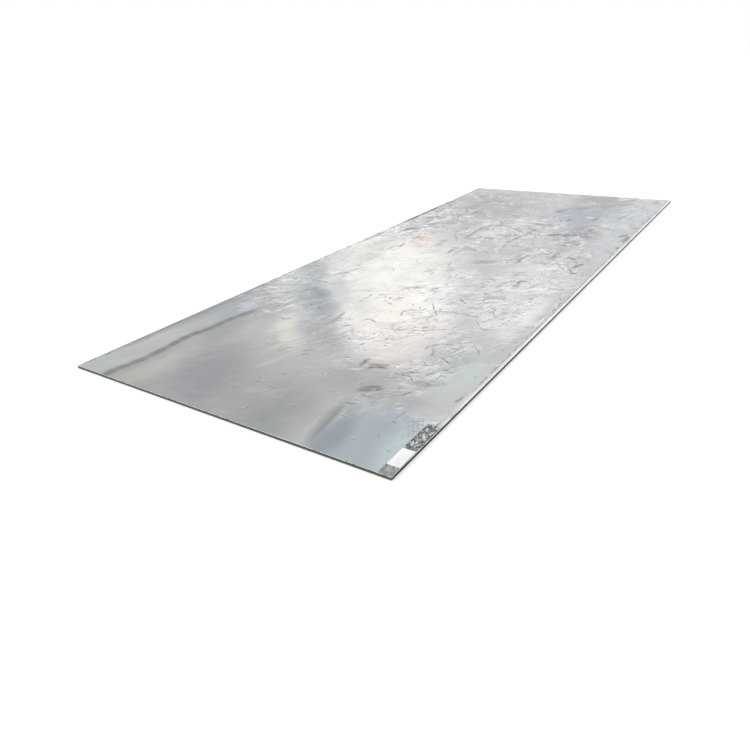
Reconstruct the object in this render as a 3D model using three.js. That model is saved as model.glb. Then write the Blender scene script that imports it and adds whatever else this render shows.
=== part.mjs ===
// Hot-rolled steel plate, sheared to stock size on all four sides, with the paper
// stock tag that is stuck on its top face beside one corner.
//
// Millimetres. X runs along the plate, Y across it and Z up. The origin is the middle of
// the underside: the plate lies on Z = 0, as it left the shear, roll-over side up.

import * as THREE from 'three';

// Plate
const PLATE_LENGTH = 3048;
const PLATE_WIDTH = 1219;
const PLATE_THICKNESS = 9.5;

// Sheared edge, from the top face down. The blade first drags the corner down, then wipes
// a smooth upright land, and below that the steel breaks away on a slope to the other
// blade. The burr that the break leaves at the bottom is pressed flat in handling.
const ROLLOVER_WIDTH = 1.4;
const ROLLOVER_DEPTH = 0.75;
const LAND_HEIGHT = 2.9;
const BLADE_CLEARANCE = 0.8;
const BREAK_HOLLOW = 0.15;
const BURR_HEIGHT = 0.3;
const BURR_OVERHANG = 0.2;

// Paper tag on the top face, its long side along the plate's side at -Y
const TAG_LENGTH = 75;
const TAG_WIDTH = 37;
const TAG_THICKNESS = 0.2;
const TAG_CORNER_RADIUS = 1.5;
const TAG_FROM_END = 40;
const TAG_FROM_ROLLOVER = 0.6;
const TAG_TURN_DEG = 0.7;

// Facets
const ROLLOVER_FACETS = 8;
const BREAK_FACETS = 5;
const TAG_CORNER_FACETS = 4;

// The edge section as a list of { inset, height }, from the underside up. The inset is
// measured in from the plate's stated length and width.
function edgeSection() {
  const breakTop = PLATE_THICKNESS - ROLLOVER_DEPTH - LAND_HEIGHT;
  const burrInset = BLADE_CLEARANCE - BURR_OVERHANG;
  const section = [{ inset: burrInset, height: 0 }];
  section.push(...breakPoints(BURR_HEIGHT, breakTop));
  section.push(...rolloverPoints());
  return section;
}

// The break leans out from the lower blade's line to the land, slightly hollow.
function breakPoints(bottom, top) {
  const points = [];
  for (let i = 0; i <= BREAK_FACETS; i += 1) {
    const rise = i / BREAK_FACETS;
    const hollow = BREAK_HOLLOW * Math.sin(Math.PI * rise);
    points.push({
      inset: BLADE_CLEARANCE * (1 - rise) + hollow,
      height: bottom + (top - bottom) * rise,
    });
  }
  return points;
}

// The roll-over is a quarter ellipse, from the top of the land to the top face.
function rolloverPoints() {
  const points = [];
  for (let i = 0; i <= ROLLOVER_FACETS; i += 1) {
    const turn = (Math.PI / 2) * (i / ROLLOVER_FACETS);
    points.push({
      inset: ROLLOVER_WIDTH * (1 - Math.cos(turn)),
      height: PLATE_THICKNESS - ROLLOVER_DEPTH * (1 - Math.sin(turn)),
    });
  }
  return points;
}

// Four corners of the plate at one level of its edge section, anticlockwise from above.
function plateCorners({ inset, height }) {
  const x = PLATE_LENGTH / 2 - inset;
  const y = PLATE_WIDTH / 2 - inset;
  return [[-x, -y, height], [x, -y, height], [x, y, height], [-x, y, height]];
}

// A closed solid lofted through level rings that have as many corners each.
function loftGeometry(rings) {
  const corners = rings[0].length;
  const indices = [];
  for (let level = 0; level + 1 < rings.length; level += 1) {
    for (let i = 0; i < corners; i += 1) {
      const a = level * corners + i;
      const b = level * corners + ((i + 1) % corners);
      indices.push(a, b, b + corners, a, b + corners, a + corners);
    }
  }
  const last = (rings.length - 1) * corners;
  for (let i = 1; i + 1 < corners; i += 1) {
    indices.push(0, i + 1, i);
    indices.push(last, last + i, last + i + 1);
  }
  const geometry = new THREE.BufferGeometry();
  geometry.setAttribute('position', new THREE.Float32BufferAttribute(rings.flat(2), 3));
  geometry.setIndex(indices);
  geometry.computeVertexNormals();
  return geometry;
}

function makePlate() {
  const rings = edgeSection().map(plateCorners);
  const millScale = new THREE.MeshStandardMaterial({
    color: 0xb4b8bb,
    roughness: 0.42,
    metalness: 0.65,
    flatShading: true,
  });
  const plate = new THREE.Mesh(loftGeometry(rings), millScale);
  plate.name = 'steel_plate';
  return plate;
}

// The tag's outline starts at the corner it is turned about, which is its origin.
function tagOutline() {
  const r = TAG_CORNER_RADIUS;
  const outline = new THREE.Shape();
  outline.moveTo(r, 0);
  outline.lineTo(TAG_LENGTH - r, 0);
  outline.absarc(TAG_LENGTH - r, r, r, -Math.PI / 2, 0, false);
  outline.lineTo(TAG_LENGTH, TAG_WIDTH - r);
  outline.absarc(TAG_LENGTH - r, TAG_WIDTH - r, r, 0, Math.PI / 2, false);
  outline.lineTo(r, TAG_WIDTH);
  outline.absarc(r, TAG_WIDTH - r, r, Math.PI / 2, Math.PI, false);
  outline.lineTo(0, r);
  outline.absarc(r, r, r, Math.PI, Math.PI * 1.5, false);
  return outline;
}

function makeTag() {
  const geometry = new THREE.ExtrudeGeometry(tagOutline(), {
    depth: TAG_THICKNESS,
    bevelEnabled: false,
    curveSegments: TAG_CORNER_FACETS,
  });
  const paper = new THREE.MeshStandardMaterial({
    color: 0xf2f2f0,
    roughness: 0.8,
    metalness: 0,
  });
  const tag = new THREE.Mesh(geometry, paper);
  tag.name = 'paper_tag';
  tag.position.set(
    -PLATE_LENGTH / 2 + TAG_FROM_END,
    -PLATE_WIDTH / 2 + ROLLOVER_WIDTH + TAG_FROM_ROLLOVER,
    PLATE_THICKNESS,
  );
  tag.rotation.z = THREE.MathUtils.degToRad(TAG_TURN_DEG);
  return tag;
}

const steelPlate = new THREE.Group();
steelPlate.add(makePlate(), makeTag());

export default steelPlate;
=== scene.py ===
"""A hot-rolled steel plate lying on a pale floor, with its paper stock tag.

Lengths are in millimetres unless a name says otherwise; MM turns them into Blender's metres.
Places on the plate are (x, y) from the middle of its top face, x along it and y across it.
"""

import math

import bpy
import numpy as np
from mathutils import Matrix, Vector, noise


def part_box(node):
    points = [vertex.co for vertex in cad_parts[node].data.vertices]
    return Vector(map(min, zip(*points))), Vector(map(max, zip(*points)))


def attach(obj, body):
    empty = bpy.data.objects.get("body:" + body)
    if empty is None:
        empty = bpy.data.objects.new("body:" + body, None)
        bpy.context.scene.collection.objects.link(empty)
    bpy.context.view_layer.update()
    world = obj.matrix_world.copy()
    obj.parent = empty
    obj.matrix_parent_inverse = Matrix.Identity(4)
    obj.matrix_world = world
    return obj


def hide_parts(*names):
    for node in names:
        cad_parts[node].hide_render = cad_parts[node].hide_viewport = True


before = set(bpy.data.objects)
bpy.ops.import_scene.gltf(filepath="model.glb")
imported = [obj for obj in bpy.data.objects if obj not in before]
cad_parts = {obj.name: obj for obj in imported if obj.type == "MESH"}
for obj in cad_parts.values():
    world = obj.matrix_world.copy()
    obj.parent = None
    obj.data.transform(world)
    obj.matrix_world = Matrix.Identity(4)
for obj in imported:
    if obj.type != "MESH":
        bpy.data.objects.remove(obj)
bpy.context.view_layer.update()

MM = 0.001
PLATE_LOW, PLATE_HIGH = (np.array(corner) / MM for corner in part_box("steel_plate"))
TAG_LOW, TAG_HIGH = (np.array(corner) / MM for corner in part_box("paper_tag"))
TOP = PLATE_HIGH[2]
END = PLATE_LOW[0]
SIDE = PLATE_LOW[1]

# Camera: its place, what it looks at, its roll, its focal length in pixels and its sensor in millimetres.
CAMERA_PLACE = (-2457.5, -1244.5, 858.0)
CAMERA_AIM = (-1123.0, -297.0, 9.5)
CAMERA_ROLL = math.radians(-3.54)
FOCAL_PIXELS = 616.45
IMAGE_PIXELS = 750
SENSOR = 36

# Mesh of the plate: cells on its faces, and how many of them share one cell underneath.
CELLS_ALONG = 400
CELLS_ACROSS = 160
UNDER_CELLS = 4

# The sheared edge: depth of the rounded rim that the blade pressed down, and height where the land
# that it cut cleanly gives way to the torn break.
ROLLOVER = 0.75
LAND_FOOT = 5.85

# How high above and below the land's foot the tearing roughened the edge, how deep and how coarse the
# roughness is, and the waves in which the foot wanders: height, length.
TORN_REACH = 2.6
TORN_DEPTH = 0.1
TORN_GRAIN = 6
LAND_WAVES = ((0.7, 45), (0.25, 9))

# Knocks on the rim: place, half length, depth.
KNOCKS = (
    ((-1524, -609), 14, 0.9), ((-1524, 609), 12, 0.8), ((1524, -609), 13, 0.8), ((1524, 609), 12, 0.7),
    ((-1524, 352), 10, 0.7), ((-1524, -118), 14, 0.5), ((-1524, -471), 9, 0.8), ((1524, 240), 12, 0.6),
    ((1524, -333), 16, 0.7), ((-1180, -609), 11, 0.5), ((-664, -609), 9, 0.7), ((-71, -609), 15, 0.5),
    ((573, -609), 12, 0.8), ((1127, -609), 10, 0.6), ((-905, 609), 12, 0.6), ((118, 609), 10, 0.7),
    ((846, 609), 14, 0.6),
)

# How far the leveller's waves sink the top face, how long they are along it and across it, and how far
# from the rim and from the tag's bed they are at their full depth.
WAVE_DEPTH = 0.22
WAVE_LENGTH = 330
WAVE_WIDTH = 900
WAVE_FADE = 90

# The middle of the tag, and how far round it the plate is its flat bed.
TAG_MIDDLE = (TAG_LOW[0] + 37, TAG_LOW[1] + 18)
TAG_BED = 60

# How a pattern fades softly from one value to another.
SMOOTH = {"interpolation_type": "SMOOTHSTEP", "clamp": False}


# ---------------------------------------------------------------- helpers


def linear(colour):
    """An sRGB hex colour as Blender's linear RGBA."""
    parts = [int(colour[i:i + 2], 16) / 255 for i in (1, 3, 5)]
    return (*(c / 12.92 if c <= 0.04045 else ((c + 0.055) / 1.055) ** 2.4 for c in parts), 1)


def add(tree, kind, inputs=None, **settings):
    """Adds a node and gives its outputs. inputs maps a socket's name or number to its value or to the
    socket that feeds it."""
    made = tree.nodes.new(kind)
    for name, value in settings.items():
        setattr(made, name, value)
    for key, value in (inputs or {}).items():
        if isinstance(value, bpy.types.NodeSocket):
            tree.links.new(value, made.inputs[key])
        else:
            made.inputs[key].default_value = value
    return made.outputs


def new_material(name):
    """An empty material, as (material, tree)."""
    material = bpy.data.materials.new(name)
    material.use_nodes = True
    material.node_tree.nodes.clear()
    return material, material.node_tree


def finished(material, inputs):
    """The material with its surface, a shader with those inputs."""
    tree = material.node_tree
    surface = add(tree, "ShaderNodeBsdfPrincipled", inputs)[0]
    add(tree, "ShaderNodeOutputMaterial", {"Surface": surface})
    return material


def place_object(name, data):
    """An object with that mesh, lamp or camera, in the scene."""
    made = bpy.data.objects.new(name, data)
    bpy.context.scene.collection.objects.link(made)
    return made


def new_object(name, points, faces):
    """A mesh object at the origin from points in millimetres."""
    mesh = bpy.data.meshes.new(name)
    mesh.from_pydata((np.asarray(points) * MM).tolist(), [], faces)
    mesh.update()
    return place_object(name, mesh)


# ---------------------------------------------------------------- pattern building blocks


def point_place(tree, upward=1):
    """The point's (x, y, z) in millimetres, or (x, y, 0) with upward 0."""
    place = add(tree, "ShaderNodeTexCoord")["Object"]
    scale = (1 / MM, 1 / MM, upward / MM)
    return add(tree, "ShaderNodeVectorMath", {0: place, 1: scale}, operation="MULTIPLY")[0]


def shifted(tree, place, size, reach, detail=2.0):
    """place pushed about by up to reach, in waves of that size, so that edges wander."""
    wave = add(tree, "ShaderNodeTexNoise", {"Vector": place, "Scale": 1 / size, "Detail": detail})
    push = add(tree, "ShaderNodeVectorMath", {0: wave["Color"], 1: (0.5, 0.5, 0.5)}, operation="SUBTRACT")
    return add(tree, "ShaderNodeVectorMath", {0: push[0], 1: (2 * reach, 2 * reach, 0), 2: place},
               operation="MULTIPLY_ADD")[0]


def oval(tree, place, centre, size, turn=0, core=0.3, first=0.0, last=1.0):
    """An oval patch: last inside its core, fading to first at its rim. size is its half length and width."""
    local = add(tree, "ShaderNodeMapping",
                {"Vector": place, "Location": (*centre, 0), "Rotation": (0, 0, math.radians(turn)),
                 "Scale": (*size, 1)}, vector_type="TEXTURE")
    ball = add(tree, "ShaderNodeTexGradient", {0: local[0]}, gradient_type="SPHERICAL")
    return add(tree, "ShaderNodeMapRange", {"Value": ball["Fac"], "From Min": 0, "From Max": 1 - core,
                                            "To Min": first, "To Max": last}, **SMOOTH)[0]


def hills(tree, place, size, stretch, turn, detail, roughness, seed):
    """Noise with hills of that size, drawn out by stretch along the way that turn gives."""
    local = add(tree, "ShaderNodeMapping",
                {"Vector": place, "Location": (seed, seed, 0), "Rotation": (0, 0, math.radians(turn)),
                 "Scale": (size * stretch, size, size)}, vector_type="TEXTURE")[0]
    return add(tree, "ShaderNodeTexNoise",
               {"Vector": local, "Scale": 1, "Detail": detail, "Roughness": roughness})["Fac"]


def grain(tree, place, size, low, high, stretch=1, turn=0, detail=3, seed=0):
    """Spots where the hills are high: 0 up to low and 1 from high."""
    height = hills(tree, place, size, stretch, turn, detail, 0.55, seed)
    return add(tree, "ShaderNodeMapRange", {"Value": height, "From Min": low, "From Max": high}, **SMOOTH)[0]


def stain(tree, colour, tone, strength, *covers):
    """colour with a tone laid over it where all the covers are, at most as strongly as strength."""
    amount = strength
    for cover in covers:
        amount = add(tree, "ShaderNodeMath", {0: cover, 1: amount}, operation="MULTIPLY")[0]
    return add(tree, "ShaderNodeMix", {0: amount, 6: colour, 7: linear(tone)}, data_type="RGBA")[2]


def grained(tree, colour, place, *layers):
    """colour with layers of grain over it. A layer is its tone, its strength and what grain() is given:
    size, low, high, stretch, turn, detail, seed."""
    for tone, strength, *kind in layers:
        colour = stain(tree, colour, tone, strength, grain(tree, place, *kind))
    return colour


# ---------------------------------------------------------------- top face

# Tones of the scale, partly its tempering tints and partly painted reflection of the sky, from below up:
# colour, centre, half size, turn in degrees, core, strength.
TONES = (
    ("#F6F4EF", (-190, 230), (830, 430), 24, 0.2, 1.0), ("#F2F2EF", (180, 580), (420, 100), 0, 0.3, 0.8),
    ("#D7D7D4", (-60, 425), (420, 80), 14, 0.3, 0.6), ("#FCF9F5", (-640, -120), (560, 250), 16, 0.25, 1.0),
    ("#D9DBDE", (-180, -400), (640, 220), 4, 0.4, 0.9), ("#CAC9C9", (520, -20), (420, 260), 10, 0.3, 0.7),
    ("#ADACAB", (1060, 270), (580, 350), 0, 0.3, 0.9), ("#ADADAD", (1260, 560), (480, 120), 0, 0.3, 0.7),
    ("#C1C0C0", (1340, 130), (300, 220), 0, 0.2, 0.8), ("#90949A", (620, -350), (270, 130), 10, 0.2, 0.8),
    ("#B1B3B6", (250, -350), (220, 90), 0, 0.2, 0.7), ("#B0B4B8", (230, -475), (230, 80), 0, 0.3, 0.8),
    ("#A3ABB7", (1040, -250), (460, 200), -6, 0.25, 0.9),
    ("#9FA1A2", (1440, -250), (260, 240), 0, 0.3, 0.75), ("#C5CBD2", (1230, -540), (560, 80), 0, 0.3, 0.8),
    ("#C4C8CC", (620, -510), (420, 80), 0, 0.3, 0.8), ("#E8DAD0", (250, 330), (270, 100), 38, 0.1, 0.8),
    ("#D9D5D3", (490, 30), (190, 110), 22, 0.2, 0.8), ("#D2CCCB", (230, 110), (200, 90), 30, 0.1, 0.5),
    ("#B1ACB0", (190, -40), (100, 50), -70, 0.1, 0.8), ("#B9BBC1", (20, -125), (70, 34), -70, 0.1, 0.8),
    ("#9F9F9F", (1000, 390), (120, 60), 0, 0.1, 0.8), ("#F5E8E0", (-720, -60), (330, 80), 14, 0.1, 0.5),
    ("#9EA19E", (-1500, 130), (610, 560), 0, 0.5, 1.0),
    ("#B7B6B4", (-1110, -20), (240, 340), -30, 0.2, 0.85),
    ("#DBD7D0", (-965, 185), (290, 60), 46, 0.2, 0.8), ("#CBC9C4", (-1180, 60), (120, 22), -14, 0.1, 0.45),
    ("#D0CEC9", (-1085, 116), (110, 20), -14, 0.1, 0.45),
    ("#8F8F98", (-1380, 170), (290, 150), 28, 0.1, 0.85),
    ("#999EA1", (-900, 560), (420, 150), 6, 0.35, 0.9), ("#A7A9A9", (-860, 380), (230, 130), 20, 0.2, 0.85),
    ("#959997", (-1080, 388), (210, 90), 10, 0.2, 0.8), ("#B2B4AD", (-1390, 375), (230, 90), 0, 0.2, 0.8),
    ("#B4B6B6", (-1330, 516), (520, 68), 0, 0.4, 0.9), ("#AFB5BC", (-1495, 530), (90, 60), 0, 0.2, 0.6),
    ("#B6BBC8", (-880, 480), (110, 50), 40, 0.1, 0.6), ("#8B8E8D", (-1030, 622), (620, 60), 0, 0.3, 0.9),
    ("#A3A3A2", (-1150, -260), (180, 200), 0, 0.2, 0.85),
    ("#8E9194", (-1450, -190), (260, 140), 20, 0.1, 0.55),
    ("#9FA1A3", (-1220, -430), (130, 120), 0, 0.2, 0.8),
    ("#A8B0B7", (-1440, -478), (186, 140), 3, 0.88, 1.0),
    ("#B9C7C9", (-1410, -580), (220, 100), 0, 0.3, 0.9), ("#8F979C", (-1455, -385), (180, 64), 6, 0.2, 0.9),
    ("#999FA4", (-1318, -352), (80, 40), 10, 0.2, 0.7), ("#F1EEE9", (-770, 60), (190, 80), 36, 0.2, 0.8),
    ("#8C959B", (-575, 372), (620, 104), 41, 0.15, 1.0), ("#C2C7C7", (-490, 475), (130, 70), 30, 0.2, 0.7),
    ("#C2C5C8", (-512, 298), (250, 56), 41, 0.1, 0.8), ("#A3A4A5", (-935, 50), (260, 82), 50, 0.2, 0.85),
    ("#E7DFD9", (-850, -230), (330, 160), 10, 0.2, 0.7), ("#C2CFCC", (-990, -525), (230, 60), 0, 0.2, 0.6),
    ("#E9EBEB", (-560, -510), (250, 90), 4, 0.2, 0.6), ("#A89E90", (385, 460), (85, 36), 20, 0.1, 0.6),
    ("#EDEFEE", (-430, -525), (210, 70), 10, 0.2, 0.6), ("#A6A9AC", (440, -350), (150, 60), 20, 0.2, 0.5),
    ("#E4E4E6", (-190, -160), (180, 60), 30, 0.2, 0.6), ("#C0C8C9", (-350, -340), (100, 60), 0, 0.2, 0.6),
    ("#BBBBBB", (610, 80), (110, 45), 0, 0.2, 0.5),
)

# Creases in the scale: half width, strength, and the places they run through.
CREASES = (
    (14, 0.8, ((418, 135), (495, 140), (587, 138), (625, 110), (647, 49), (614, -3), (586, -51),
     (545, -92))),
    (13, 0.6, ((728, 110), (760, 52))), (12, 1.0, ((500, -114), (440, -103), (386, -94), (345, -92))),
    (8, 0.6, ((345, -92), (253, -111))), (12, 0.9, ((67, -254), (147, -255), (200, -267))),
    (9, 0.6, ((-105, -303), (-68, -323), (-32, -340))),
    (11, 1.0, ((-228, -363), (-200, -364), (-147, -364), (-149, -390))), (7, 0.8, ((-89, 3), (-50, 4))),
    (10, 0.6, ((83, -188), (85, -235))), (8, 0.6, ((-415, -105), (-410, -112))),
    (6, 0.6, ((-279, -308), (-211, -313), (-191, -326))),
    (5, 0.6, ((-180, -232), (-182, -256), (-213, -279))),
    (8, 0.7, ((-593, -209), (-578, -263), (-574, -315), (-581, -346), (-575, -378))),
    (4, 0.7, ((-606, -381), (-651, -414), (-677, -441))),
    (6, 0.8, ((-441, -231), (-464, -259), (-478, -279))), (5, 0.4, ((-390, -152), (-418, -202))),
    (4, 0.8, ((-460, -365), (-491, -394), (-543, -422))), (9, 0.5, ((109, -354), (94, -391), (155, -427))),
    (9, 0.7, ((-183, -490), (-194, -522), (-183, -546))), (4, 0.6, ((-253, -500), (-297, -535))),
    (4, 0.9, ((-264, -555), (-299, -582), (-365, -586), (-420, -587))),
    (4, 0.4, ((-370, -481), (-322, -482), (-282, -491))), (7, 0.8, ((87, -481), (29, -513), (24, -535))),
    (8, 0.6, ((184, -462), (155, -502))), (10, 0.6, ((-402, 394), (-362, 374), (-323, 358), (-286, 346))),
    (7, 0.6, ((-440, 344), (-393, 340))), (6, 0.5, ((-230, 407), (-268, 342))),
    (6, 0.4, ((-560, 234), (-495, 99))), (6, 0.7, ((-635, 101), (-609, 102), (-576, 100), (-542, 106))),
    (9, 0.6, ((-447, 24), (-413, 11), (-393, -34))), (8, 0.5, ((-345, 12), (-311, -1))),
    (8, 0.5, ((-851, 83), (-807, 84), (-750, 84))), (3, 0.6, ((-898, -50), (-842, -18))),
    (9, 0.7, ((-860, 17), (-839, -3))), (7, 0.7, ((-776, -21), (-758, -35), (-782, -73))),
    (7, 0.7, ((-692, -123), (-656, -105), (-630, -111), (-615, -141))),
    (7, 0.6, ((-527, -129), (-493, -123), (-486, -137))),
    (5, 1.0, ((-524, -158), (-577, -196), (-633, -240))),
    (5, 0.8, ((-804, -155), (-805, -174), (-785, -218), (-774, -250), (-760, -277), (-746, -292),
     (-722, -328))),
    (5, 0.8, ((-893, -335), (-872, -339), (-839, -363), (-822, -401))),
    (4, 0.7, ((-712, -342), (-678, -343))), (4, 0.7, ((-661, -347), (-652, -357))),
    (4, 0.7, ((-762, -354), (-746, -359), (-737, -371))), (4, 0.6, ((-661, -105), (-688, -122))),
    (4, 1.0, ((-877, -358), (-903, -376), (-929, -376), (-926, -396))),
    (4, 0.7, ((-972, -372), (-991, -397))), (5, 1.0, ((-927, -411), (-934, -429), (-952, -455))),
    (4, 0.9, ((-1094, -221), (-1076, -224), (-1038, -202))),
    (9, 1.0, ((-1092, -248), (-1076, -269), (-1067, -300))), (5, 0.5, ((-1108, -268), (-1099, -313))),
    (5, 0.8, ((-1232, -321), (-1240, -344), (-1234, -367))),
    (5, 1.0, ((-1294, -317), (-1293, -331), (-1286, -343))),
    (5, 0.9, ((-1192, -430), (-1175, -437), (-1154, -450))), (4, 0.5, ((-1165, -380), (-1142, -434))),
    (4, 0.5, ((-1185, -393), (-1166, -428))), (4, 0.8, ((-1073, -375), (-1084, -396), (-1102, -416))),
    (4, 0.6, ((-1076, -356), (-1057, -376), (-1031, -395))),
    (5, 0.9, ((-1151, -575), (-1134, -582), (-1114, -584))),
    (4, 0.7, ((-804, -465), (-819, -486), (-856, -514))), (4, 0.8, ((-1317, -479), (-1321, -492))),
    (4, 0.6, ((-1355, -342), (-1359, -368))), (4, 0.5, ((-1111, -332), (-1108, -365))),
    (9, 0.6, ((-725, 520), (-714, 469))), (9, 0.6, ((-691, 478), (-673, 412))),
    (9, 0.7, ((-805, 387), (-803, 357), (-746, 344))), (7, 0.5, ((-898, 354), (-840, 334), (-793, 314))),
    (7, 0.7, ((-894, 277), (-904, 252), (-886, 239))), (6, 0.4, ((-946, 163), (-942, 135))),
    (10, 0.8, ((-578, 600), (-577, 574))), (5, 0.8, ((-1120, -1), (-1098, -9), (-1098, -25))),
    (5, 0.8, ((-1091, 10), (-1076, 1), (-1065, -20))), (6, 0.5, ((-1129, 82), (-1101, 80), (-1085, 68))),
    (3, 0.5, ((-1333, -9), (-1304, 6), (-1284, 12))), (4, 0.5, ((-1311, -9), (-1295, -51))),
    (4, 0.6, ((-1317, -51), (-1329, -82), (-1314, -84))),
    (4, 0.5, ((-1261, -16), (-1238, -29), (-1252, -61))),
    (4, 0.6, ((-1467, -76), (-1452, -81), (-1432, -81))), (4, 0.4, ((-1286, 74), (-1317, 73), (-1355, 86))),
    (4, 0.7, ((-1381, -184), (-1373, -199))), (4, 0.6, ((-1181, -133), (-1192, -157), (-1161, -171))),
    (4, 0.5, ((-1269, -217), (-1251, -261))), (4, 0.5, ((-1183, -71), (-1181, -105))),
    (10, 0.6, ((21, 392), (77, 392), (110, 354))), (8, 0.5, ((-2, 359), (54, 354))),
    (6, 0.4, ((-171, 508), (-106, 525), (-56, 537))), (10, 0.5, ((-74, 446), (-88, 396), (-63, 378))),
    (12, 0.4, ((130, 499), (171, 445))), (5, 0.45, ((-1436, -433), (-1432, -445))),
    (5, 0.4, ((-1397, -493), (-1387, -479))), (5, 0.4, ((-1366, -509), (-1350, -509))),
    (4, 0.55, ((-1434, -541), (-1434, -549))),
)

# Bright lips and smears, partly painted highlights on the lips of the creases and partly pale rubbed scale:
# half width, strength, and the places they run through.
LIP_HIGHLIGHTS_AND_RUBS = (
    (20, 0.8, ((784, 69), (778, -43), (767, -136))), (10, 0.7, ((609, 75), (609, 18), (554, -55))),
    (13, 1.0, ((512, -92), (552, -86))), (20, 0.8, ((1438, -345), (1483, -391))),
    (22, 0.8, ((1213, 141), (1240, 102))), (16, 0.8, ((975, -295), (965, -316))),
    (14, 0.6, ((310, -279), (275, -305), (255, -331))), (15, 0.8, ((427, -280), (447, -306))),
    (20, 0.9, ((584, 558), (562, 526))), (20, 0.9, ((456, 409), (452, 389))),
    (20, 0.8, ((288, 487), (313, 482))), (18, 0.9, ((499, 458), (482, 438))),
    (16, 0.8, ((552, 375), (581, 363))), (16, 0.7, ((298, 311), (301, 292))),
    (14, 0.7, ((11, 156), (33, 126))), (11, 0.8, ((-178, -65), (-164, -95))),
    (22, 0.6, ((241, 73), (231, 20))), (20, 0.7, ((754, 333), (761, 287))),
    (22, 0.7, ((700, 231), (709, 168))), (26, 0.9, ((690, 560), (730, 520))),
    (24, 0.9, ((840, 540), (880, 500))), (22, 0.9, ((640, 430), (690, 400))),
    (5, 0.8, ((-1129, -201), (-1107, -242))),
    (14, 0.6, ((-873, 398), (-878, 337), (-825, 327), (-772, 322))),
    (15, 0.6, ((-768, 415), (-769, 366), (-715, 360))), (13, 0.3, ((-881, 298), (-891, 249), (-850, 260))),
    (18, 0.8, ((-577, 574), (-541, 531))), (13, 0.7, ((-661, 563), (-648, 506))),
    (12, 0.8, ((-492, 591), (-430, 596))),
    (10, 0.6, ((-169, -59), (-248, -110), (-176, -111), (-197, -159))),
    (5, 0.9, ((-310, -582), (-441, -587), (-613, -586))),
    (22, 0.5, ((-280, -389), (-244, -440), (-197, -487))), (20, 0.5, ((13, -376), (74, -450))),
    (5, 0.4, ((-1105, 72), (-1102, 48))), (6, 0.6, ((-1035, -207), (-1013, -280))),
    (5, 0.6, ((-1131, -430), (-1137, -393))), (8, 0.5, ((-869, -235), (-842, -251))),
)

# White flecks, each a short slanting stroke: the middle of each. Then how far they reach from it along and
# across, their half width and their strength.
FLECKS = (
    (-721, -18), (-512, 84), (-640, -56), (-572, -28), (-717, -49), (-677, 114), (-709, 42), (-907, -47),
    (-860, -88), (-562, -59), (-474, -222), (-703, -216), (-721, -246), (-718, -379), (-783, -430),
)
FLECK_REACH = 3
FLECK_WIDTH = 6
FLECK_STRENGTH = 0.9

# Darker smudges: half width, strength, and the places they run through.
SMUDGES = (
    (50, 0.45, ((1105, -131), (1181, -216), (1237, -314), (1342, -409))),
    (40, 0.34, ((568, 379), (610, 320))), (16, 0.35, ((169, 204), (281, 208))),
    (38, 0.45, ((-2, -89), (40, -152))), (18, 0.4, ((-381, -333), (-367, -388))),
    (24, 0.9, ((-1212, -318), (-1188, -350))), (15, 0.6, ((-1079, -218), (-1045, -221))),
    (14, 0.7, ((-1070, -250), (-1056, -292))), (26, 0.4, ((-1106, -436), (-1084, -489))),
    (26, 0.5, ((1120, 388), (1150, 375))), (20, 0.5, ((837, 326), (888, 318))),
    (26, 0.45, ((870, 82), (877, 61))), (32, 0.45, ((1257, 479), (1265, 455))),
    (22, 0.9, ((1032, -105), (1056, -113))), (16, 0.9, ((845, -219), (886, -226))),
    (15, 0.8, ((906, -340), (969, -348))), (18, 0.5, ((709, -377), (733, -390))),
    (26, 1.0, ((547, -235), (582, -277), (578, -318))), (15, 0.9, ((600, -330), (620, -350))),
    (13, 0.8, ((560, -340), (585, -352))), (17, 0.9, ((227, -438), (206, -463))),
    (17, 0.9, ((100, -499), (149, -517))), (12, 1.0, ((18, -514), (28, -525))),
    (14, 0.9, ((731, -92), (727, -109))), (14, 0.8, ((571, -393), (584, -417))),
    (15, 0.9, ((649, -550), (688, -571))), (14, 0.7, ((695, -386), (730, -392))),
    (15, 0.6, ((991, -449), (1058, -467))), (20, 0.9, ((364, 502), (435, 470))),
    (11, 0.6, ((242, 371), (298, 370))), (10, 0.6, ((78, 357), (145, 372))),
    (14, 0.7, ((557, 505), (609, 463))), (14, 0.7, ((564, 375), (593, 314))),
    (10, 0.6, ((166, 212), (189, 180))), (11, 0.7, ((439, 232), (479, 216))),
    (9, 0.4, ((398, 221), (293, 154))), (13, 0.6, ((76, 90), (132, 96))),
    (14, 0.5, ((353, 134), (418, 135))), (20, 0.8, ((650, 520), (700, 490))),
    (20, 0.8, ((800, 560), (850, 530))), (18, 0.7, ((520, 440), (560, 420))),
    (15, 0.9, ((563, -583), (650, -588))), (8, 0.6, ((-548, 17), (-544, 10))),
    (7, 0.6, ((-540, -14), (-527, -26))), (7, 0.6, ((-598, -5), (-604, -26))),
    (5, 0.8, ((-822, -300), (-817, -304))), (5, 0.8, ((-814, -313), (-810, -318))),
    (5, 0.6, ((-944, -71), (-941, -75))), (5, 0.6, ((-969, -67), (-966, -71))),
    (6, 0.6, ((-902, -136), (-898, -143))), (6, 0.6, ((-879, -202), (-876, -208))),
    (20, 1.0, ((548, 600), (693, 602), (773, 602), (902, 600))), (20, 0.8, ((1003, 597), (1120, 582))),
    (14, 0.5, ((82, 588), (181, 592), (309, 588))), (16, 0.35, ((-860, 60), (-760, 90))),
)

# The wavy line left along the smooth end where the roll's cooling water ran.
WATER_LINE = (
    (-1535, 466), (-1474, 466), (-1435, 457), (-1374, 448), (-1274, 453), (-1224, 459), (-1174, 460),
    (-1124, 448), (-1084, 441), (-1024, 443), (-974, 436), (-905, 422),
)

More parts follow.
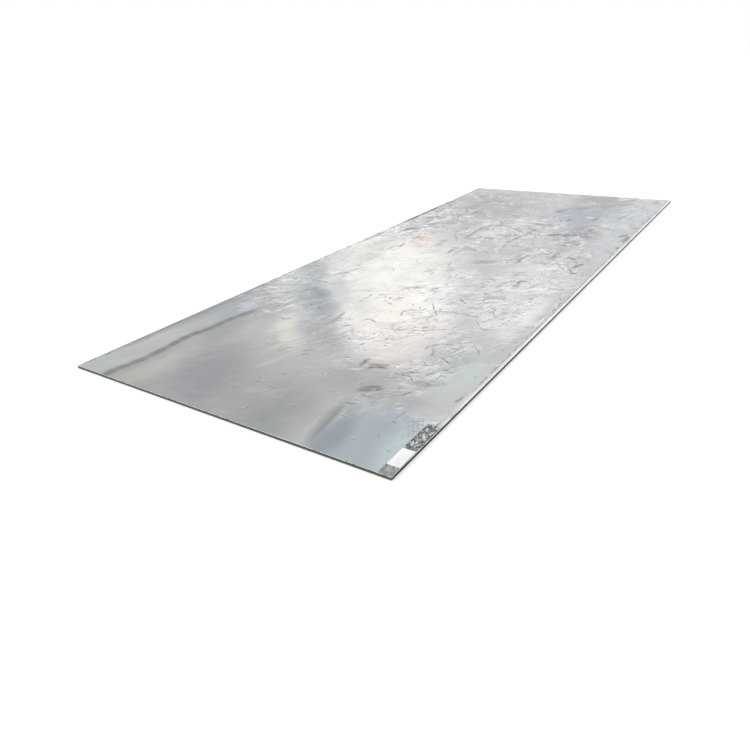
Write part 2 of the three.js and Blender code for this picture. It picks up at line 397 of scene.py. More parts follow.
# Calmer and busier patches of the scale: centre, half size, turn and, in a calm one, the share of the
# wrinkles that it keeps.
CALM = (
    ((-800, 230), (330, 260), 34, 0.45), ((-130, 250), (500, 250), 24, 0.4),
    ((1180, 60), (640, 700), 0, 0.45), ((-960, -530), (460, 110), 4, 0.35),
    ((-1440, -478), (230, 160), 3, 0.1), ((-1220, -400), (140, 110), 0, 0.4),
    ((-1110, -40), (240, 200), -30, 0.5), ((900, -520), (500, 120), 0, 0.6),
    ((850, -290), (300, 130), 0, 0.5), ((-560, -90), (190, 110), 10, 0.7),
)
BUSY = (
    ((-740, 440), (200, 190), 20), ((330, 440), (190, 150), 30), ((620, 520), (430, 120), 0),
    ((700, -80), (330, 200), -40), ((-150, -470), (470, 120), 0), ((480, -340), (120, 90), 10),
    ((-330, -330), (330, 170), 10),
)

# Where the smooth end gives way to the wrinkled scale, as x at y 0, and how much further along that lies
# for each millimetre across.
SMOOTH_END = (-1210, -970)
SLANT = 0.45

# The ways that marks run, in degrees: along the plate, as the scale was dragged, across it, as the
# leveller's rolls lay, and askew, as the cooling water ran off.
DRAG = -14
ACROSS = 118
ASKEW = 22

# Sheets of scale: size, levels, seed, sharpness of the front, the part of a noise that keeps them, turn.
FLAKES = (
    (300, 8, 0, 0.06, 0.48, 0.56, DRAG),
    (110, 6, 310, 0.09, 0.50, 0.58, ACROSS),
    (48, 5, 620, 0.14, 0.57, 0.65, ACROSS),
    (26, 4, 930, 0.22, 0.64, 0.72, DRAG),
)

# Folds in the scale: size, half width, seed, the part of a noise that keeps them, turn.
FOLDS = (
    (90, 2.6, 150, 0.56, 0.62, DRAG),
    (56, 2.4, 710, 0.56, 0.62, ACROSS),
    (34, 1.8, 480, 0.60, 0.66, DRAG),
    (30, 1.8, 840, 0.59, 0.65, ACROSS),
)

# Where the far half's coarser marks take over from the near half's fine ones, as x.
HALVES = (-350, 350)

# How much longer than wide the sheets and folds of the scale are drawn.
DRAWN_OUT = 2.4

# How far towards the light the relief is looked at again, to shade one flank of each ridge.
SHADE_STEP = (2.6, 1.9, 0)

# Wear along the long sides, in from the edge: how deep the pale strip, the bared strip, which is also
# painted bright as a highlight, and the dark bits are at their full strength and at all, and the middle and
# half width of the dotted line.
PALE_STRIP = (14, 20)
BARED_HIGHLIGHT_STRIP = (5, 8)
DARK_BITS = (6, 20)
DOTTED_LINE = (14.5, 2.0)

# The strip along the near side where an older tag was torn off: dark, with shreds of foil. Where it ends
# along the plate, how far in it reaches, and how wide the glue lines beside it are.
STRIP_END = -1287
STRIP_DEPTH = 39
GLUE_LINE_WIDTH = 6.5


def tones(tree, place):
    """The scale's colour before its fine marks: patches of tempering and reflection laid over each other."""
    colour = linear("#C0C1C2")
    wandering = shifted(tree, place, 260, 45, 4)
    for tone, centre, size, turn, core, strength in TONES:
        colour = stain(tree, colour, tone, strength, oval(tree, wandering, centre, size, turn, core))
    return colour


def wrinkle_cover(tree, place):
    """How wrinkled the scale is: hardly at the smooth end, in clusters over the rest."""
    wandering = shifted(tree, place, 200, 70)
    cluster = grain(tree, wandering, 150, 0.45, 0.57, 1.5, DRAG, 3, 505)
    for centre, size, turn in BUSY:
        busy = oval(tree, wandering, centre, size, turn, 0.4)
        cluster = add(tree, "ShaderNodeMath", {0: cluster, 1: busy}, operation="MAXIMUM")[0]
    cluster = add(tree, "ShaderNodeMapRange", {"Value": cluster, "To Min": 0.25})[0]
    slanted = add(tree, "ShaderNodeVectorMath", {0: wandering, 1: (1, -SLANT, 0)}, operation="DOT_PRODUCT")
    cover = add(tree, "ShaderNodeMapRange", {"Value": slanted["Value"], "From Min": SMOOTH_END[0],
                                             "From Max": SMOOTH_END[1], "To Min": 0.14})[0]
    cover = add(tree, "ShaderNodeMath", {0: cover, 1: cluster}, operation="MULTIPLY")[0]
    for centre, size, turn, left in CALM:
        calm = oval(tree, wandering, centre, size, turn, 0.3, first=1.0, last=left)
        cover = add(tree, "ShaderNodeMath", {0: cover, 1: calm}, operation="MULTIPLY")[0]
    return cover


def flakes(tree, place, size, levels, seed, sharp, turn):
    """Rolled-in scale: sheets that lie over each other, each with a short steep front and a long back.
    Gives (height, 1 along the foot of each front)."""
    height = hills(tree, place, size, DRAWN_OUT, turn, 3, 0.5, seed)
    terrace = add(tree, "ShaderNodeMath", {0: height, 1: levels}, operation="MULTIPLY")[0]
    step = add(tree, "ShaderNodeMath", {0: terrace}, operation="FRACT")[0]
    front = add(tree, "ShaderNodeMapRange", {"Value": step, "From Min": 0, "From Max": sharp}, **SMOOTH)[0]
    foot = add(tree, "ShaderNodeMapRange", {"Value": step, "From Min": 1 - sharp, "From Max": 1})[0]
    return add(tree, "ShaderNodeMath", {0: front, 1: step}, operation="SUBTRACT")[0], foot


def folds(tree, place, size, width, seed, turn):
    """Sharp folds: 1 along the lines where drawn-out hills are halfway high."""
    height = hills(tree, place, size, DRAWN_OUT, turn, 2, 0.5, seed)
    off = add(tree, "ShaderNodeMath", {0: height, 1: 0.5}, operation="SUBTRACT")[0]
    off = add(tree, "ShaderNodeMath", {0: off}, operation="ABSOLUTE")[0]
    return add(tree, "ShaderNodeMapRange", {"Value": off, "From Min": 0.8 * width / size, "From Max": 0},
               **SMOOTH)[0]


def new_pattern(name, *results):
    """An empty node group for a pattern, as (group, place): it takes a place and gives those results."""
    group = bpy.data.node_groups.new(name, "ShaderNodeTree")
    group.interface.new_socket("Place", in_out="INPUT", socket_type="NodeSocketVector")
    for result in results:
        group.interface.new_socket(result, in_out="OUTPUT", socket_type="NodeSocketFloat")
    return group, add(group, "NodeGroupInput")[0]


def make_relief(name, sheets, ridges):
    """A node group: the height of the wrinkled scale at a place, and 1 at the foot of its sheets and along
    its folds, where a dark is painted that is partly dirt and partly shade."""
    group, place = new_pattern(name, "Height", "Dirt and shade")
    bent = shifted(group, place, 120, 26, 4)
    total, dirt_and_shade = 0.0, 0.0
    for size, levels, seed, sharp, low, high, turn in sheets:
        height, foot = flakes(group, bent, size, levels, seed, sharp, turn)
        kept = grain(group, place, size * 0.6, low, high, detail=2, seed=seed)
        total = add(group, "ShaderNodeMath", {0: height, 1: kept, 2: total}, operation="MULTIPLY_ADD")[0]
        dirt_and_shade = add(group, "ShaderNodeMath", {0: foot, 1: kept, 2: dirt_and_shade}, operation="MULTIPLY_ADD")[0]
    for size, width, seed, low, high, turn in ridges:
        fold = folds(group, bent, size, width, seed, turn)
        kept = grain(group, place, size * 0.8, low, high, detail=2, seed=seed)
        total = add(group, "ShaderNodeMath", {0: fold, 1: kept, 2: total}, operation="MULTIPLY_ADD")[0]
        dirt_and_shade = add(group, "ShaderNodeMath", {0: fold, 1: kept, 2: dirt_and_shade}, operation="MULTIPLY_ADD")[0]
    add(group, "NodeGroupOutput", {0: total, 1: dirt_and_shade})
    return group


def strokes(tree, place, lines, core=0.2):
    """1 along each of the lines, fading at their sides and tips outside their core."""
    marks = 0.0
    for width, strength, spots in lines:
        for (x0, y0), (x1, y1) in zip(spots, spots[1:]):
            reach = 0.65 * math.hypot(x1 - x0, y1 - y0) + width
            turn = math.degrees(math.atan2(y1 - y0, x1 - x0))
            middle = ((x0 + x1) / 2, (y0 + y1) / 2)
            mark = oval(tree, place, middle, (reach, width), turn, core, last=strength)
            marks = add(tree, "ShaderNodeMath", {0: marks, 1: mark}, operation="MAXIMUM")[0]
    return marks


def make_creases():
    """A node group: 1 in the creases of CREASES, fading out at their tips."""
    group, place = new_pattern("scale_creases", "Crease")
    frayed = shifted(group, place, 34, 7, 5)
    add(group, "NodeGroupOutput", {0: strokes(group, frayed, CREASES)})
    return group


def soft_marks(tree, place, colour, wrinkled):
    """Clouds, sheets and strokes: the broad marks, fine over the near half and coarse over the far one.
    Each sheet is paler behind its front and darker at its foot, partly its own tone and partly painted light
    and shade on its step.
    """
    along = add(tree, "ShaderNodeSeparateXYZ", {0: place})[0]
    far = add(tree, "ShaderNodeMapRange", {"Value": along, "From Min": HALVES[0], "From Max": HALVES[1]})[0]
    near = add(tree, "ShaderNodeMath", {0: 1.0, 1: far}, operation="SUBTRACT")[0]
    warped = shifted(tree, place, 110, 30, 3)
    colour = stain(tree, colour, "#8F9193", 0.14, grain(tree, warped, 110, 0.4, 0.7, 1.3, DRAG, 3))
    # Each sheet: pale behind its front and dark at its foot, partly tone and partly painted highlight and
    # shade.
    for size, levels, seed, sharp, turn, pale, dark, where in (
            (300, 8, 77, 0.05, ACROSS, 0.30, 0.36, near),
            (150, 6, 431, 0.10, ASKEW, 0.46, 0.50, far),
            (90, 6, 512, 0.14, DRAG, 0.34, 0.40, far),
            (70, 5, 640, 0.10, ACROSS, 0.24, 0.24, near)):
        sheet, foot = flakes(tree, warped, size, levels, seed, sharp, turn)
        kept = grain(tree, warped, size * 0.7, 0.44, 0.56, detail=2, seed=seed)
        colour = stain(tree, colour, "#FFFFFF", pale, sheet, kept, wrinkled, where)
        colour = stain(tree, colour, "#818285", dark, foot, kept, wrinkled, where)
    fold = folds(tree, warped, 130, 7, 221, DRAG)
    kept = grain(tree, warped, 100, 0.52, 0.60, detail=2, seed=33)
    colour = stain(tree, colour, "#77797B", 0.55, fold, kept, wrinkled, far)
    for tone, strength, size, low, high, stretch, turn, seed, where in (
            ("#838587", 0.44, 70, 0.54, 0.61, 1.5, ASKEW, 350, far),
            ("#FFFFFF", 0.30, 58, 0.54, 0.62, 1.5, ASKEW, 380, far),
            ("#FFFFFF", 0.36, 20, 0.56, 0.61, 2.4, ACROSS, 250, far),
            ("#6F7174", 0.46, 17, 0.59, 0.63, 2.4, DRAG, 210, far),
            ("#9C9B9B", 0.30, 62, 0.53, 0.61, 1.8, ACROSS, 450, near),
            ("#FFFFFF", 0.16, 54, 0.54, 0.62, 2.0, ACROSS, 470, near),
            ("#FFFFFF", 0.17, 36, 0.55, 0.62, 3.4, DRAG, 490, near),
            ("#FFFFFF", 0.20, 15, 0.56, 0.63, 5.0, DRAG, 40, near),
            ("#858789", 0.26, 20, 0.58, 0.65, 4.0, DRAG, 90, near),
            ("#FFFFFF", 0.14, 11, 0.57, 0.64, 6.0, ACROSS, 130, near),
            ("#808284", 0.14, 11, 0.59, 0.66, 6.0, ACROSS, 170, near)):
        mark = grain(tree, warped, size, low, high, stretch, turn, 2, seed)
        colour = stain(tree, colour, tone, strength, mark, wrinkled, where)
    return stain(tree, colour, "#8C9093", 0.10, grain(tree, place, 8, 0.5, 0.8, 14))


def wrinkles(tree, place, colour, wrinkled):
    """Painted highlight on one flank of each ridge and painted shade on the other, with dark in the creases,
    partly dirt and partly painted shade.
    """
    relief = make_relief("scale_relief", FLAKES, FOLDS)
    creases = make_creases()
    ahead = add(tree, "ShaderNodeVectorMath", {0: place, 1: SHADE_STEP})[0]
    height, dirt_and_shade = add(tree, "ShaderNodeGroup", {0: place}, node_tree=relief)
    height_ahead = add(tree, "ShaderNodeGroup", {0: ahead}, node_tree=relief)[0]
    rise = add(tree, "ShaderNodeMath", {0: height_ahead, 1: height}, operation="SUBTRACT")[0]
    crease = add(tree, "ShaderNodeGroup", {0: place}, node_tree=creases)[0]
    crease_ahead = add(tree, "ShaderNodeGroup", {0: ahead}, node_tree=creases)[0]
    fall = add(tree, "ShaderNodeMath", {0: crease, 1: crease_ahead}, operation="SUBTRACT")[0]
    gentle = add(tree, "ShaderNodeMath", {0: wrinkled, 1: 0.8}, operation="MULTIPLY")[0]
    rise = add(tree, "ShaderNodeMath", {0: rise, 1: gentle, 2: fall}, operation="MULTIPLY_ADD")[0]
    lit = add(tree, "ShaderNodeMapRange", {"Value": rise, "From Min": 0.03, "From Max": 0.5}, **SMOOTH)[0]
    shaded = add(tree, "ShaderNodeMapRange", {"Value": rise, "From Min": -0.03, "From Max": -0.5},
                 **SMOOTH)[0]
    # Painted highlight on the lit flanks and painted shade on the shaded ones.
    colour = stain(tree, colour, "#FFFFFF", 0.6, lit)
    colour = stain(tree, colour, "#6E7173", 0.55, shaded)
    # Dark at the foot of the sheets and along the folds: partly dirt, partly painted shade.
    colour = stain(tree, colour, "#5F6263", 0.46, dirt_and_shade, wrinkled)
    frayed = shifted(tree, place, 40, 9, 5)
    broken = grain(tree, place, 13, 0.28, 0.50, 1.6, ACROSS, 2, 300)
    reach = FLECK_REACH
    flecks = [(FLECK_WIDTH, FLECK_STRENGTH, ((x - reach, y + reach), (x + reach, y - reach)))
              for x, y in FLECKS]
    # The lips are partly painted highlights and partly pale rubbed scale.
    colour = stain(tree, colour, "#FFFFFF", 0.7, strokes(tree, frayed, [*LIP_HIGHLIGHTS_AND_RUBS, *flecks]), broken)
    colour = stain(tree, colour, "#7E8083", 1.0, strokes(tree, frayed, SMUDGES, 0.5), broken)
    colour = stain(tree, colour, "#54585A", 0.72, crease, broken)
    colour = stain(tree, colour, "#5F6364", 0.5, grain(tree, place, 4.5, 0.70, 0.74, detail=1), wrinkled)
    return stain(tree, colour, "#FFFFFF", 0.8, grain(tree, place, 4.5, 0.68, 0.72, detail=1, seed=60),
                 wrinkled)


def edge_wear(tree, place, colour):
    """Along the long sides: at the near one a pale strip with a dotted dark line and a bared border of bright
    steel with a painted highlight on it, at the far one dark bits."""
    side = add(tree, "ShaderNodeSeparateXYZ", {0: shifted(tree, place, 40, 2.5, 3)})[1]
    near = add(tree, "ShaderNodeMapRange", {"Value": side, "From Min": SIDE + PALE_STRIP[1],
                                            "From Max": SIDE + PALE_STRIP[0]})[0]
    colour = stain(tree, colour, "#D5D9CF", 0.7, near, grain(tree, place, 60, 0.40, 0.58, 5))
    line = add(tree, "ShaderNodeMath", {0: side, 1: SIDE + DOTTED_LINE[0], 2: DOTTED_LINE[1]},
               operation="COMPARE")[0]
    colour = stain(tree, colour, "#6D706A", 0.75, line, grain(tree, place, 7, 0.42, 0.55, 3.5),
                   grain(tree, place, 90, 0.36, 0.5, 4, seed=20))
    rim = add(tree, "ShaderNodeMapRange", {"Value": side, "From Min": SIDE + BARED_HIGHLIGHT_STRIP[1],
                                           "From Max": SIDE + BARED_HIGHLIGHT_STRIP[0]})[0]
    along = add(tree, "ShaderNodeSeparateXYZ", {0: place})[0]
    bared_highlight = add(tree, "ShaderNodeMapRange",
                {"Value": along, "From Min": -1300, "From Max": -600, "To Min": 0.35})[0]
    # The bared border: bright steel, painted near white as a highlight along the rim.
    colour = stain(tree, colour, "#FFFFFF", 0.95, rim, bared_highlight, grain(tree, place, 40, 0.34, 0.46, 5, seed=70))
    far = add(tree, "ShaderNodeMapRange", {"Value": side, "From Min": -SIDE - DARK_BITS[1],
                                           "From Max": -SIDE - DARK_BITS[0]})[0]
    colour = stain(tree, colour, "#5B5F5E", 0.7, far, grain(tree, place, 11, 0.48, 0.58, 4))
    soiled = oval(tree, place, (730, -SIDE - 4), (260, 20), 0, 0.6)
    return stain(tree, colour, "#54585A", 0.9, soiled, grain(tree, place, 24, 0.38, 0.52, 3, seed=90))


def rolled_lines(tree, place, colour):
    """On the smooth end: the wavy water line with soft blooms at its sides and a dark one at its end, the
    grey edge of the pale blue field, and three small dashes near the far side."""
    wavering = shifted(tree, place, 90, 12, 3)
    frayed = shifted(tree, place, 34, 4, 4)
    for tone, strength, width, aside in (("#9B9EA3", 0.15, 34, 12), ("#989B95", 0.45, 46, -20),
                                         ("#777B7C", 0.95, 27, 0)):
        line = [(x, y + aside) for x, y in WATER_LINE]
        colour = stain(tree, colour, tone, strength, strokes(tree, frayed, [(width, 1.0, line)]))
    colour = stain(tree, colour, "#8C9092", 0.6, oval(tree, wavering, (-920, 422), (80, 34), -16, 0.1))
    colour = stain(tree, colour, "#8F918E", 0.7, oval(tree, wavering, (-1400, -330), (180, 28), 10, 0.2))
    colour = stain(tree, colour, "#848886", 0.6, oval(tree, frayed, (-1408, -336), (140, 13), 10, 0.2))
    for centre, turn in (((-1243, 585), 40), ((-1222, 588), 30), ((-1262, 584), 52)):
        colour = stain(tree, colour, "#7F8389", 0.5, oval(tree, frayed, centre, (26, 4), turn, 0.2))
    return colour


def torn_strip(tree, place, colour):
    """The dark strip under and beyond the tag, with shreds of bright foil left on it."""
    ragged = add(tree, "ShaderNodeSeparateXYZ", {0: shifted(tree, place, 12, 5, 4)})
    along = add(tree, "ShaderNodeMapRange",
                {"Value": ragged[0], "From Min": STRIP_END + 2, "From Max": STRIP_END - 2})[0]
    edge = SIDE + STRIP_DEPTH
    across = add(tree, "ShaderNodeSeparateXYZ", {0: place})[1]
    deep = add(tree, "ShaderNodeMapRange", {"Value": across, "From Min": edge + 1.5, "From Max": edge - 1})[0]
    colour = stain(tree, colour, "#5E6462", 0.97, along, deep)
    colour = stain(tree, colour, "#3A3F3D", 0.8, along, deep, grain(tree, place, 8, 0.45, 0.62))
    torn = shifted(tree, place, 9, 5, 4)
    for tone, strength, size, low, high, stretch, turn, seed in (
            ("#AEB4B2", 0.75, 5, 0.50, 0.57, 1.8, 40, 0),
            ("#D3D7D5", 0.85, 12, 0.57, 0.61, 2.0, 20, 7),
            ("#1F2322", 0.70, 7, 0.58, 0.62, 2.6, -10, 3)):
        shred = grain(tree, torn, size, low, high, stretch, turn, seed=seed)
        colour = stain(tree, colour, tone, strength, along, deep, shred)
    under = oval(tree, shifted(tree, place, 20, 6, 3), (-1505, SIDE + 12), (40, 40), 0, 0.5)
    return stain(tree, colour, "#9CA3A1", 0.55, under, deep)


def glue_comb(tree, place, colour):
    """The fine comb of glue lines beside the torn strip."""
    comb = oval(tree, place, (-1314, -550), (72, 32), 0, 0.4)
    teeth = add(tree, "ShaderNodeMapping",
                {"Vector": place, "Rotation": (0, 0, math.radians(31)),
                 "Scale": (GLUE_LINE_WIDTH, GLUE_LINE_WIDTH, 1)}, vector_type="TEXTURE")
    teeth = add(tree, "ShaderNodeTexWave", {0: teeth[0], "Scale": 1 / 6.283, "Distortion": 0.4},
                wave_type="BANDS", bands_direction="Y")["Fac"]
    return stain(tree, colour, "#848B91", 0.30, comb, teeth)


def make_top_material():
    """Mill scale: the blue-grey oxide skin of hot rolling, cracked and dragged where the leveller
    bent it. It looks like dull pewter, with soft clouds, fine dark wrinkles and a bright lip to each. The
    lips and the lit and shaded flanks of the wrinkles are painted highlight and painted shade, and some of
    the clouds are painted sky reflection."""
    material, tree = new_material("mill_scale_top")
    place = point_place(tree, upward=0)
    wrinkled = wrinkle_cover(tree, place)
    colour = tones(tree, place)
    colour = soft_marks(tree, place, colour, wrinkled)
    colour = wrinkles(tree, place, colour, wrinkled)
    colour = edge_wear(tree, place, colour)
    colour = rolled_lines(tree, place, colour)
    colour = torn_strip(tree, place, colour)
    colour = glue_comb(tree, place, colour)
    ridges = make_relief("scale_ridges", FLAKES[1:2], FOLDS[1:2])
    raised = add(tree, "ShaderNodeGroup", {0: place}, node_tree=ridges)[0]
    bump = add(tree, "ShaderNodeBump", {"Height": raised, "Strength": 0.7, "Distance": 0.0003})
    rubbed = grain(tree, place, 150, 0.35, 0.65, 1.6, DRAG)
    rough = add(tree, "ShaderNodeMapRange", {"Value": rubbed, "To Min": 0.47, "To Max": 0.37})[0]
    return finished(material, {"Base Color": colour, "Metallic": 0.6, "Roughness": rough, "Normal": bump[0]})


# ---------------------------------------------------------------- other finishes

# Where the bearers of the cooling bed rubbed the underside, along the plate.
BEARERS = (-1120, -380, 380, 1120)

# How far in from the ends their duller edge is at its full strength and at all.
END_DEPTH = (2, 6)

# The sheared edge's bands, as heights: from where to where the torn one fades out upwards, and the middle
# and half width of the grey thread.
TORN_BAND = (5.2, 6.0)
THREAD = (3.6, 0.9)


def make_under_material():
    """Mill scale as the cooling bed left it: an even blue-grey skin, darker than the dressed top, with
    faint streaks the way it was rolled and dull rubbed bars across it where it lay on its bearers."""
    material, tree = new_material("mill_scale_under")
    place = point_place(tree, upward=0)
    warped = shifted(tree, place, 160, 40, 3)
    colour = grained(tree, linear("#7B8085"), warped,
                     ("#9AA0A5", 0.6, 260, 0.42, 0.62, 2.2),
                     ("#5F656B", 0.5, 120, 0.50, 0.66, 2.0, 0, 3, 33),
                     ("#8C8478", 0.25, 90, 0.58, 0.70, 1.5, 0, 3, 71))
    colour = grained(tree, colour, place, ("#4D5257", 0.30, 6, 0.50, 0.72, 30))
    for bearer in BEARERS:
        bar = oval(tree, warped, (bearer, 0), (46, 900), 0, 0.5)
        colour = stain(tree, colour, "#A9ADB0", 0.5, bar, grain(tree, place, 9, 0.45, 0.62, 5))
    colour = grained(tree, colour, place, ("#44484B", 0.6, 5, 0.68, 0.72, 1, 0, 1))
    skin = grain(tree, place, 14, 0.3, 0.7, 3)
    bump = add(tree, "ShaderNodeBump", {"Height": skin, "Strength": 0.6, "Distance": 0.0002})
    return finished(material, {"Base Color": colour, "Metallic": 0.6, "Roughness": 0.5, "Normal": bump[0]})


def at_ends(tree, place):
    """1 on the two short ends of the plate, whose edges were cut with a duller blade."""
    along = add(tree, "ShaderNodeMath", {0: add(tree, "ShaderNodeSeparateXYZ", {0: place})[0]},
                operation="ABSOLUTE")[0]
    return add(tree, "ShaderNodeMapRange",
               {"Value": along, "From Min": -END - END_DEPTH[1], "From Max": -END - END_DEPTH[0]})[0]


def make_edge_material():
    """Sheared steel under a thin dark oxide that hides its shine: a smooth band that the blade burnished
    above a torn one, both with upright drag marks. It is painted almost black, partly for the oxide and
    partly as painted shade on a side turned from the light, with a thin grey thread along its lower half, and
    greenish grey at the two ends. The drag marks are drawn coarser than real ones, so that they show."""
    material, tree = new_material("sheared_edge")
    place = point_place(tree)
    height = add(tree, "ShaderNodeSeparateXYZ", {0: shifted(tree, place, 30, 0.9, 3)})[2]
    torn = add(tree, "ShaderNodeMapRange",
               {"Value": height, "From Min": TORN_BAND[1], "From Max": TORN_BAND[0]}, **SMOOTH)[0]
    thread = add(tree, "ShaderNodeMath", {0: height, 1: THREAD[0], 2: THREAD[1]}, operation="COMPARE")[0]
    drag = add(tree, "ShaderNodeMapping", {"Vector": place, "Scale": (1.4, 1.4, 40)}, vector_type="TEXTURE")
    marks = add(tree, "ShaderNodeTexNoise", {"Vector": drag[0], "Scale": 1, "Detail": 3.0})
    # Near black: partly the oxide and partly painted shade on a side turned from the light.
    colour = stain(tree, linear("#0C0D0C"), "#252723", 0.9, torn)
    colour = stain(tree, colour, "#75776E", 0.55, thread, grain(tree, place, 30, 0.42, 0.56))
    colour = stain(tree, colour, "#23251F", 0.8, torn, grain(tree, place, 1.7, 0.45, 0.65))
    colour = stain(tree, colour, "#8B8D86", 0.14, marks["Fac"])
    colour = stain(tree, colour, "#6B7368", 0.75, at_ends(tree, place), torn)
    colour = stain(tree, colour, "#6E4A32", 0.35, torn, grain(tree, place, 22, 0.60, 0.70, 1.5, seed=9))
    bump = add(tree, "ShaderNodeBump", {"Height": marks["Fac"], "Strength": 1.0, "Distance": 0.0002})
    rough = add(tree, "ShaderNodeMapRange", {"Value": torn, "To Min": 0.38, "To Max": 0.62})[0]
    return finished(material, {"Base Color": colour, "Roughness": rough, "Specular IOR Level": 0.12,
                               "Normal": bump[0]})


def make_rim_material():
    """The rounded rim, bared to bright steel along the sides by handling and still dull at the ends, its pale
    colour partly a painted highlight of the sky. It catches the light as a thin pale line round the top face."""
    material, tree = new_material("bared_highlit_rim")
    place = point_place(tree)
    # Pale: bared steel with a painted highlight of the sky.
    colour = grained(tree, linear("#DFE0DB"), place,
                     ("#9B9E99", 0.7, 26, 0.46, 0.58),
                     ("#F4F4F0", 0.7, 7, 0.55, 0.66, 1, 0, 3, 5))
    colour = stain(tree, colour, "#B4B9B2", 0.9, at_ends(tree, place))
    nicked = grain(tree, place, 12, 0.52, 0.62, seed=50)
    colour = stain(tree, colour, "#565B55", 0.5, nicked, at_ends(tree, place))
    return finished(material, {"Base Color": colour, "Metallic": 0.7, "Roughness": 0.36})


def make_tag_material():
    """Coated label paper: a clean cool white, barely soiled, with its fibres just showing. The fibres are
    drawn coarser than real ones, so that they show."""
    material, tree = new_material("tag_paper")
    place = point_place(tree)
    fibres = grain(tree, place, 0.5, 0.42, 0.62, 5, 20)
    colour = grained(tree, linear("#F1F3F5"), place, ("#DDE1E5", 0.7, 18, 0.45, 0.65))
    colour = stain(tree, colour, "#D2D5D6", 0.4, fibres)
    colour = grained(tree, colour, place, ("#A7A9A6", 0.5, 2.2, 0.66, 0.72, 1, 0, 1, 14))
    bump = add(tree, "ShaderNodeBump", {"Height": fibres, "Strength": 0.5, "Distance": 0.00004})
    return finished(material, {"Base Color": colour, "Roughness": 0.72, "Normal": bump[0]})


def make_chip_material(name, pale, dark):
    """Loose bits lying on the plate, some pale and some dark: like crumbs of dull tinfoil."""
    material, tree = new_material(name)
    place = point_place(tree)
    colour = grained(tree, linear(pale), place,
                     (dark, 1.0, 60, 0.50, 0.56, 1, 0, 1),
                     ("#FFFFFF", 0.35, 3, 0.5, 0.65))
    return finished(material, {"Base Color": colour, "Metallic": 0.6, "Roughness": 0.4})


# ---------------------------------------------------------------- plate mesh

# The plate's finishes, in the order of its material slots.
FINISH_TOP, FINISH_UNDER, FINISH_EDGE, FINISH_RIM = range(4)


def edge_section():
    """The sheared edge as (inset, height) from the underside up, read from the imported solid."""
    corner = {(round(v.co.x / MM, 3), round(v.co.z / MM, 3))
              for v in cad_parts["steel_plate"].data.vertices if v.co.x > 0 and v.co.y > 0}
    return sorted(((PLATE_HIGH[0] - x, z) for x, z in corner), key=lambda level: level[1])


def rim_cells(last_i, last_j):
    """Grid positions (i, j) once round a face of that many cells, anticlockwise from its low corner."""
    return ([(i, 0) for i in range(last_i)] + [(last_i, j) for j in range(last_j)]
            + [(i, last_j) for i in range(last_i, 0, -1)] + [(0, j) for j in range(last_j, 0, -1)])


def grid_point(i, j, inset, height):
    """A point of the face's grid, drawn in by inset at the rim."""
    half_x, half_y = PLATE_HIGH[0] - inset, PLATE_HIGH[1] - inset
    return ((2 * i / CELLS_ALONG - 1) * half_x, (2 * j / CELLS_ACROSS - 1) * half_y, height)


def torn_and_knocked(i, j, inset, height):
    """An edge point as shearing and handling left it: the foot of the land wanders up and down, the break
    below it is rough, and knocks have pressed the rim down."""
    x, y, height = grid_point(i, j, inset, height)
    place = Vector((x, y, 0))
    hold = max(0.0, 1 - abs(height - LAND_FOOT) / TORN_REACH)
    rough = TORN_DEPTH * hold * (1 + noise.noise(Vector((x, y, height * 3)) / TORN_GRAIN))
    height += hold * sum(rise * noise.noise(place / length) for rise, length in LAND_WAVES)
    for (knock_x, knock_y), reach, depth in KNOCKS:
        near = math.exp(-((x - knock_x) ** 2 + (y - knock_y) ** 2) / reach ** 2)
        height -= depth * near * max(0.0, height - LAND_FOOT) / (TOP - LAND_FOOT)
    draw_in = 1 - rough / PLATE_HIGH[0] if height < LAND_FOOT else 1
    return x * draw_in, y * draw_in, height


def waved(i, j, inset, height):
    """A point of the top face, sunk by the leveller's waves except near the rim and under the tag."""
    x, y, height = grid_point(i, j, inset, height)
    from_rim = min(PLATE_HIGH[0] - abs(x), PLATE_HIGH[1] - abs(y))
    from_tag = math.hypot(x - TAG_MIDDLE[0], y - TAG_MIDDLE[1]) - TAG_BED
    free = min(1.0, max(0.0, min(from_rim, from_tag) / WAVE_FADE))
    wave = 0.5 + 0.5 * noise.noise(Vector((x / WAVE_LENGTH, y / WAVE_WIDTH, 0)))
    return x, y, height - WAVE_DEPTH * wave * free


def grid_index(points, rim, first, step, place):
    """Each point's number by its cell of a face's grid. The rim's points are there already, from number
    first on; the inner ones, step cells apart, are added to points where place() puts them."""
    index = {cell: first + k for k, cell in enumerate(rim)}
    for i in range(step, CELLS_ALONG, step):
        for j in range(step, CELLS_ACROSS, step):
            index[i, j] = len(points)
            points.append(place(i, j))
    return index


def under_face(index, i, j):
    """One coarse cell of the underside, clockwise from above, with the rim's points on its outer sides."""
    step = UNDER_CELLS
    corners = [(i, j), (i, j + step), (i + step, j + step), (i + step, j)]
    face = []
    for (i0, j0), (i1, j1) in zip(corners, corners[1:] + corners[:1]):
        for k in range(step):
            cell = (i0 + (i1 - i0) * k // step, j0 + (j1 - j0) * k // step)
            if cell in index:
                face.append(index[cell])
    return face


